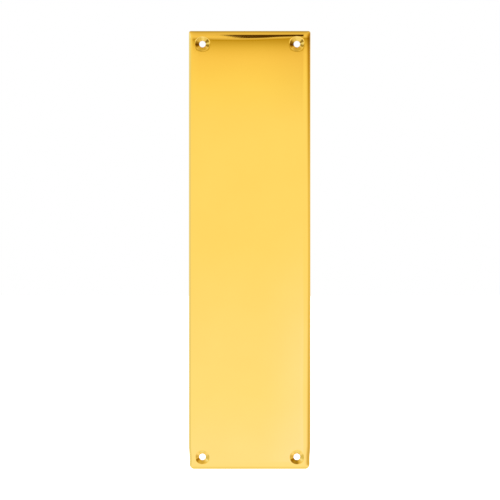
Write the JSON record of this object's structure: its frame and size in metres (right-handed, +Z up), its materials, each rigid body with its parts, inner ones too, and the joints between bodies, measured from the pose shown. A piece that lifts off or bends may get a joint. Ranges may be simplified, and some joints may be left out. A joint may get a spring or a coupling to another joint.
{
  "type": "finger plate",
  "caption": "Tall polished brass finger plate for a door, with rolled front edges and a countersunk screw hole near each corner.",
  "frame": {"origin": "centre of the plate's flat back, which lies on the face of the door", "axes": "+X along the width, +Y through the plate into the door, so the polished front faces -Y, and +Z up along the height"},
  "size_m": [0.075, 0.003, 0.27],
  "materials": {
    "polished_brass": "mirror polished and lightly buffed"
  },
  "bodies": {
    "root": {"finger_plate": "polished_brass"}
  },
  "joints": []
}
